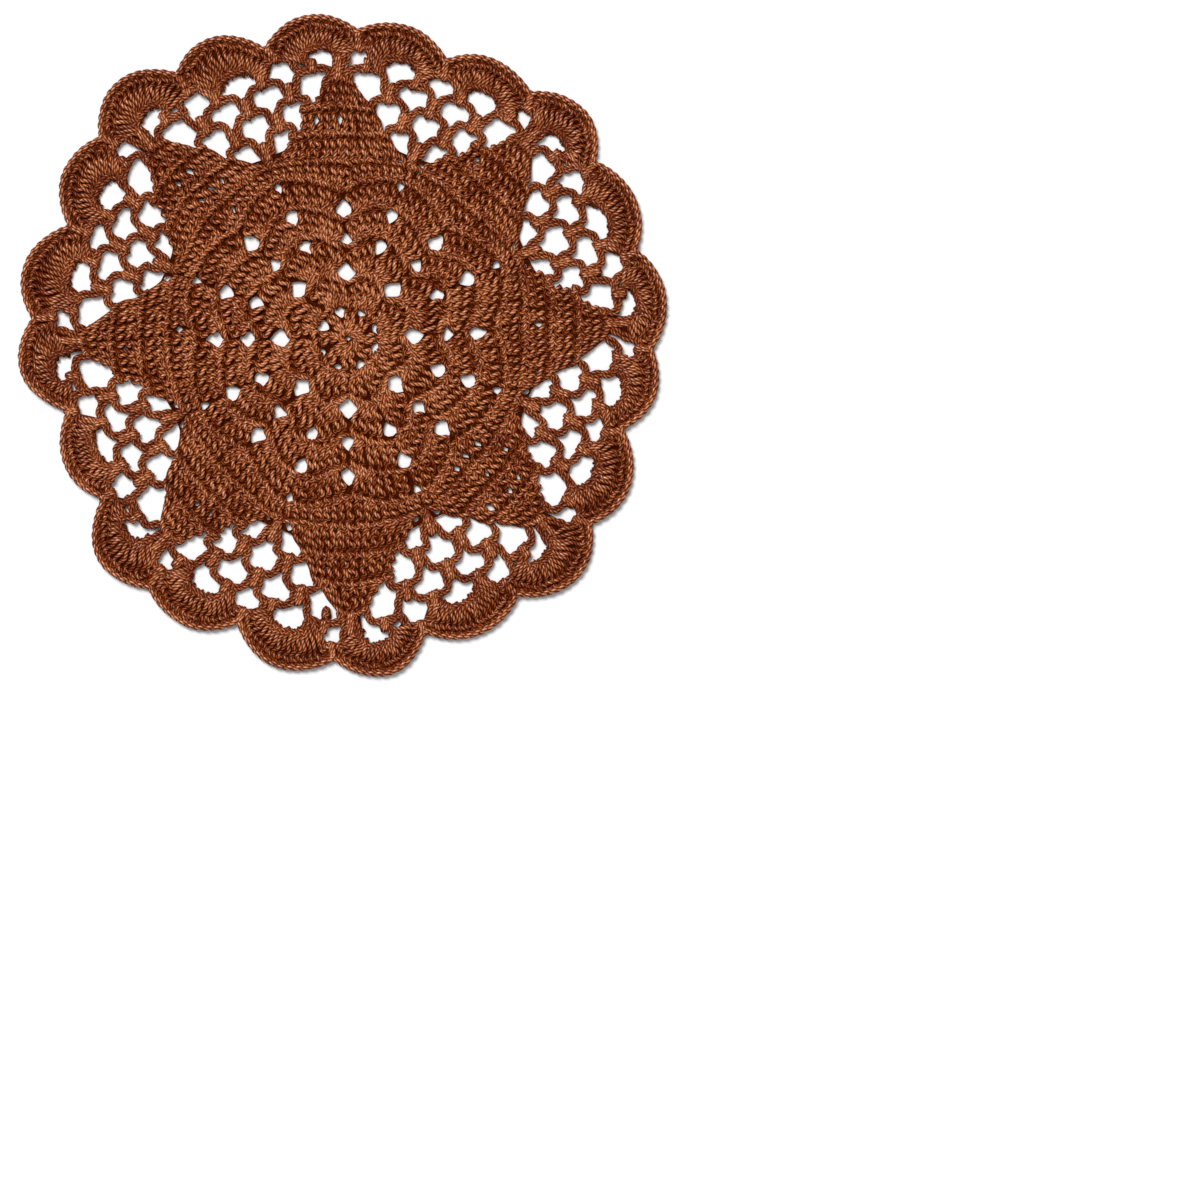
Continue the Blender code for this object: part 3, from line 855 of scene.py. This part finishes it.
class Maths:
    """A socket on which Python's operators build Math nodes."""

    def __init__(self, tree, socket):
        self.tree, self.socket = tree, socket

    def apply(self, operation, *others, swapped=False):
        node = self.tree.nodes.new("ShaderNodeMath")
        node.operation = operation
        values = (*others, self) if swapped else (self, *others)
        for slot, value in zip(node.inputs, values):
            if isinstance(value, Maths):
                self.tree.links.new(value.socket, slot)
            else:
                slot.default_value = value
        return Maths(self.tree, node.outputs[0])

    __add__ = __radd__ = partialmethod(apply, "ADD")
    __mul__ = __rmul__ = partialmethod(apply, "MULTIPLY")
    __sub__ = partialmethod(apply, "SUBTRACT")
    __rsub__ = partialmethod(apply, "SUBTRACT", swapped=True)
    sine = partialmethod(apply, "SINE")
    size = partialmethod(apply, "ABSOLUTE")


class Finish:
    """A Principled material whose other nodes are made by one method."""

    def __init__(self, name):
        self.material = bpy.data.materials.new(name)
        self.material.use_nodes = True
        self.tree = self.material.node_tree
        self.shader = self.tree.nodes["Principled BSDF"]

    def node(self, kind, settings=None, inputs=None, output=0):
        """A node of that type, its settings made first, then its sockets. Returns an output."""
        node = self.tree.nodes.new(kind)
        for key, value in (settings or {}).items():
            if key == "stops":
                ramp = node.color_ramp.elements
                while len(ramp) < len(value):
                    ramp.new(0.5)
                for stop, (position, colour) in zip(ramp, value):
                    stop.position, stop.color = position, (*colour, 1.0)
            else:
                setattr(node, key, value)
        for key, value in (inputs or {}).items():
            self.feed(key, value, node)
        return node.outputs[output]

    def value(self, socket):
        return Maths(self.tree, socket)

    def noise(self, place, scale, detail=2.0):
        inputs = {"Vector": place, "Scale": scale, "Detail": detail}
        return self.value(self.node("ShaderNodeTexNoise", inputs=inputs))

    def feed(self, key, value, node=None):
        """Sets an input of the shader, or of that node, to a value or links it to a socket."""
        slot = (node or self.shader).inputs[key]
        value = value.socket if isinstance(value, Maths) else value
        if isinstance(value, bpy.types.NodeSocket):
            self.tree.links.new(value, slot)
        else:
            slot.default_value = value


def yarn_material(settings):
    """Plied yarn: three rounded plies that wind round the strand, with a soft lustre. Its colour holds
    painted highlights on the ply crowns and on strands that pass high, and painted shade in the grooves and
    on strands near the middle height.
    """
    finish = Finish("rust_yarn")
    ply = finish.node("ShaderNodeUVMap", {"uv_map": "ply"})
    parts = finish.node("ShaderNodeSeparateXYZ", inputs={"Vector": ply}).node.outputs
    along, around = finish.value(parts[0]), finish.value(parts[1])
    # Painted highlight on the crown of each ply and painted shade in the grooves between plies.
    crown = ((along - around) * (pi * settings.plies)).sine().size()
    place = finish.node("ShaderNodeTexCoord", output=3)
    dye = finish.noise(place, DYE_SCALE)
    fibre = finish.noise(place, FIBRE_SCALE)
    height = finish.value(finish.node("ShaderNodeSeparateXYZ", inputs={"Vector": place}, output=2))
    # Painted shade on strands near the middle height, where they lie under others, and a painted highlight on
    # strands that pass high or low.
    depth = (height - settings.middle) * (1 / settings.width)
    raised = depth * depth
    reach = finish.value(finish.node("ShaderNodeVectorMath", {"operation": "LENGTH"}, {0: place}, output=1))
    tone = crown * crown * CROWN_TONE + raised * RAISED_TONE + dye + fibre * FIBRE_TONE
    tone = tone - reach * FAR_TONE - BASE_TONE
    stops = [(0.0, settings.shade), (BODY_STOP, settings.body), (1.0, settings.light)]
    colour = finish.node("ShaderNodeValToRGB", {"stops": stops}, {"Fac": tone})
    finish.feed("Base Color", colour)
    finish.feed("Roughness", 0.75 - crown * 0.2)
    finish.feed("Coat Weight", crown * crown * crown * raised)
    relief = {"Height": crown + fibre * FIBRE_RELIEF, "Distance": settings.ply_depth}
    finish.feed("Normal", finish.node("ShaderNodeBump", inputs=relief))
    finish.feed("Specular IOR Level", 0.1)
    finish.feed("Coat Roughness", 0.32)
    finish.feed("Coat IOR", 1.6)
    return finish.material


def ground_material(settings):
    """Painted shade for the gaps between strands: a dark, slightly mottled sheet."""
    finish = Finish("painted_gap_shade")
    fibre = finish.noise(finish.node("ShaderNodeTexCoord", output=3), GAP_SHEET_SCALE, 3.0)
    # Painted shade, mottled from the hollow colour to the shade colour.
    stops = [(0.4, settings.gap_shade), (1.0, settings.shade)]
    finish.feed("Base Color", finish.node("ShaderNodeValToRGB", {"stops": stops}, {"Fac": fibre}))
    finish.feed("Normal", finish.node("ShaderNodeBump", inputs={"Height": fibre, "Distance": GAP_SHEET_DEPTH}))
    finish.feed("Roughness", 0.9)
    finish.feed("Specular IOR Level", 0.0)
    return finish.material


# ---- settings


def colour_setting(name, description, default):
    return bpy.props.FloatVectorProperty(
        name=name, description=description, default=default, subtype="COLOR", size=3, min=0, max=1
    )


def number_setting(name, description, default, **more):
    return bpy.props.FloatProperty(name=name, description=description, default=default, **more)


def length_setting(name, description, default):
    return number_setting(name, description, default, unit="LENGTH", precision=5, min=0)


class DoilyYarnSettings(bpy.types.PropertyGroup):
    width: length_setting("Yarn width", "Width of the plied yarn", 1.7 * MM)
    lift: length_setting("Strand lift", "Height of strands over each other", 1.1 * MM)
    twist: length_setting("Twist", "Length of one turn of the plies", 4.8 * MM)
    segment: length_setting("Segment", "Length of one facet of the yarn", 1.0 * MM)
    middle: length_setting("Middle height", "Height of the crochet's middle", 1.42 * MM)
    ply_depth: length_setting("Ply depth", "Depth of the grooves", 0.7 * MM)
    plies: bpy.props.IntProperty(name="Plies", description="Plies in the yarn", default=3, min=1)
    seed: bpy.props.IntProperty(name="Seed", description="Picks the unevenness", default=7)
    # The light colour is a painted highlight on ply crowns and high strands, the shade colour is painted
    # shade in the grooves and on strands near the middle height, and the hollow colour is painted shade in
    # the gaps between stitches, on the ground.
    light: colour_setting("Light colour", "Crown of a ply", (0.68, 0.24, 0.095))
    body: colour_setting("Body colour", "Most of the yarn", (0.285, 0.058, 0.008))
    shade: colour_setting("Shade colour", "Grooves of the yarn", (0.13, 0.014, 0.0005))
    gap_shade: colour_setting("Hollow colour", "Darkest gaps between stitches", (0.028, 0.0045, 0.0004))


class DoilyGroundSettings(bpy.types.PropertyGroup):
    # The ground is a dark sheet that paints the shade in the gaps between stitches.
    thickness: length_setting("Thickness", "Thickness of the matted ground", 0.3 * MM)
    edge_inset: number_setting("Edge inset", "Millimetres in from the outline", 2.0)
    opening_room: number_setting("Opening room", "Millimetres round the openings", 0.8)


class DoilyStageSettings(bpy.types.PropertyGroup):
    floor: colour_setting("Floor colour", "Colour of the floor", (0.93, 0.93, 0.93))
    floor_size: length_setting("Floor size", "Side of the square floor", 6.0)
    view_width: length_setting("View width", "Width that the camera sees", 0.4622)
    view_height: length_setting("Camera height", "Height of the camera over the floor", 2.0)
    key_power: number_setting("Key light", "Power of the key light", 2.9)
    key_spread: number_setting("Key softness", "Angle of the key light in degrees", 28.0)
    sky: number_setting("Fill light", "Strength of the light all round", 0.45)


# ---- operators


class DOILY_OT_ground(bpy.types.Operator):
    """Lay the thin perforated ground, a dark sheet of painted shade, between the front and back strands"""

    bl_idname = "doily.ground"
    bl_label = "Ground"

    def execute(self, context):
        settings, yarn = context.scene.doily_ground, context.scene.doily_yarn
        mesh = bmesh.new()
        edges = []
        for loop in ground_loops(settings):
            corners = [mesh.verts.new((*((point - MIDDLE) * MM), yarn.middle)) for point in loop]
            edges += [mesh.edges.new(pair) for pair in zip(corners, corners[1:] + corners[:1])]
        bmesh.ops.triangle_fill(mesh, edges=edges, use_beauty=True, normal=(0, 0, 1))
        bmesh.ops.recalc_face_normals(mesh, faces=mesh.faces)
        data = bpy.data.meshes.new("ground")
        mesh.to_mesh(data)
        mesh.free()
        piece = new_piece("ground", data)
        solidify = piece.modifiers.new("thickness", "SOLIDIFY")
        solidify.thickness = settings.thickness
        solidify.offset = 0.0
        bpy.ops.object.modifier_apply(modifier=solidify.name)
        dress(piece, ground_material(yarn))
        return {"FINISHED"}


def short_name(operator):
    return operator.bl_idname.split(".")[1]


class YarnOperator:
    """Shared by the operators that make yarn."""

    def execute(self, context):
        settings = context.scene.doily_yarn
        hook = Crochet(settings.lift, settings.seed)
        piece = knit_piece(short_name(type(self)), self.runs(hook), settings)
        dress(piece, bpy.data.materials.get("rust_yarn") or yarn_material(settings))
        return {"FINISHED"}


class DOILY_OT_closed_rounds(YarnOperator, bpy.types.Operator):
    """Crochet the centre ring, the fans and the three split rounds"""

    bl_idname = "doily.closed_rounds"
    bl_label = "Closed rounds"

    def runs(self, hook):
        ring = [outwards(deg) * CENTRE_RING for deg in range(0, 360, 30)]
        runs = [np.column_stack([ring, np.full(len(ring), -0.3)])]
        runs += [centre_round(hook), fan_round(hook)]
        runs += [split_round(hook, row) for row in SPLIT_ROUNDS]
        return runs


class DOILY_OT_first_net_rounds(YarnOperator, bpy.types.Operator):
    """Crochet the two inner petal rows and the chain loops between them"""

    bl_idname = "doily.first_net_rounds"
    bl_label = "First net rounds"

    def runs(self, hook):
        return [net_round(hook, row) for row in (0, 1)]


class DOILY_OT_last_net_rounds(YarnOperator, bpy.types.Operator):
    """Crochet the two outer petal rows and the chain loops between them"""

    bl_idname = "doily.last_net_rounds"
    bl_label = "Last net rounds"

    def runs(self, hook):
        return [net_round(hook, row) for row in (2, 3)]


class DOILY_OT_outer_loops(YarnOperator, bpy.types.Operator):
    """Crochet the round of forty chain loops outside the petals"""

    bl_idname = "doily.outer_loops"
    bl_label = "Outer loops"

    def runs(self, hook):
        return [outer_round(hook), joining_knot(hook)]


class DOILY_OT_scallops(YarnOperator, bpy.types.Operator):
    """Crochet the twenty shells of the scalloped border"""

    bl_idname = "doily.scallops"
    bl_label = "Scallops"

    def runs(self, hook):
        return [shell_round(hook)]


class DOILY_OT_edging(YarnOperator, bpy.types.Operator):
    """Crochet the short stitches and the rope round the scallops"""

    bl_idname = "doily.edging"
    bl_label = "Edging"

    def runs(self, hook):
        feet, heads, rope = (edge_line(inset, EDGE_STITCHES) for inset in (EDGE_FEET, EDGE_HEADS, ROPE_INSET))
        feet, heads = (np.vstack([line, line[:1]]) for line in (feet, heads))
        return [hook.row(feet, heads, SHORT), *hook.rope(rope)]


class DOILY_OT_sheet(bpy.types.Operator):
    """Gather the operators that make yarn, and do nothing else"""

    bl_idname = "doily.sheet"
    bl_label = "Cloth size"

    def execute(self, context):
        yarn = [made for made in PIECE_OPERATORS if issubclass(made, YarnOperator)]
        return {"FINISHED"}


class DOILY_OT_stage(bpy.types.Operator):
    """Set the pale floor, the soft light and the camera looking straight down"""

    bl_idname = "doily.stage"
    bl_label = "Floor, light and camera"

    def execute(self, context):
        settings = context.scene.doily_stage
        bpy.ops.mesh.primitive_plane_add(size=settings.floor_size, location=(0, 0, 0))
        floor = context.object
        floor.name = "floor"
        finish = Finish("pale_floor")
        finish.feed("Base Color", (*settings.floor, 1.0))
        finish.feed("Roughness", 0.8)
        floor.data.materials.append(finish.material)
        bpy.ops.object.light_add(type="SUN", location=KEY_LIGHT_PLACE)
        lamp = context.object
        lamp.name = "key_light"
        lamp.data.angle = radians(settings.key_spread)
        lamp.data.energy = settings.key_power
        lamp.rotation_mode = "QUATERNION"
        lamp.rotation_quaternion = lamp.location.to_track_quat("Z", "Y")
        world = bpy.data.worlds.new("studio")
        world.use_nodes = True
        background = world.node_tree.nodes["Background"].inputs
        background["Color"].default_value = (1.0, 1.0, 1.0, 1.0)
        background["Strength"].default_value = settings.sky
        context.scene.world = world
        context.scene.view_settings.view_transform = "Standard"
        bpy.ops.object.camera_add(location=(*CAMERA_PLACE, settings.view_height), rotation=(0, 0, 0))
        camera = context.object
        camera.name = "camera"
        camera.data.lens = camera.data.sensor_width * settings.view_height / settings.view_width
        camera.data.clip_end = 20.0
        context.scene.camera = camera
        return {"FINISHED"}


PIECE_OPERATORS = (
    DOILY_OT_ground,
    DOILY_OT_closed_rounds,
    DOILY_OT_first_net_rounds,
    DOILY_OT_last_net_rounds,
    DOILY_OT_outer_loops,
    DOILY_OT_scallops,
    DOILY_OT_edging,
    DOILY_OT_sheet,
    DOILY_OT_stage,
)


class DOILY_PT_panel(bpy.types.Panel):
    """The doily's sizes, colours and pieces"""

    bl_idname = "DOILY_PT_panel"
    bl_label = "Lace doily"
    bl_space_type = "VIEW_3D"
    bl_region_type = "UI"
    bl_category = "Doily"

    def draw(self, context):
        for group in (getattr(context.scene, name) for name in GROUPS):
            box = self.layout.box()
            for key in group.bl_rna.properties.keys():
                if key not in {"rna_type", "name"}:
                    box.prop(group, key)
        for operator in PIECE_OPERATORS:
            self.layout.operator(operator.bl_idname)


GROUPS = {
    "doily_yarn": DoilyYarnSettings,
    "doily_ground": DoilyGroundSettings,
    "doily_stage": DoilyStageSettings,
}


CLASSES = (*GROUPS.values(), *PIECE_OPERATORS, DOILY_PT_panel)


def register():
    for made in CLASSES:
        bpy.utils.register_class(made)
    for name, group in GROUPS.items():
        setattr(bpy.types.Scene, name, bpy.props.PointerProperty(type=group))


def unregister():
    for name in GROUPS:
        delattr(bpy.types.Scene, name)
    for made in reversed(CLASSES):
        bpy.utils.unregister_class(made)


def main():
    register()
    for operator in PIECE_OPERATORS:
        getattr(bpy.ops.doily, short_name(operator))()


if __name__ == "__main__":
    main()
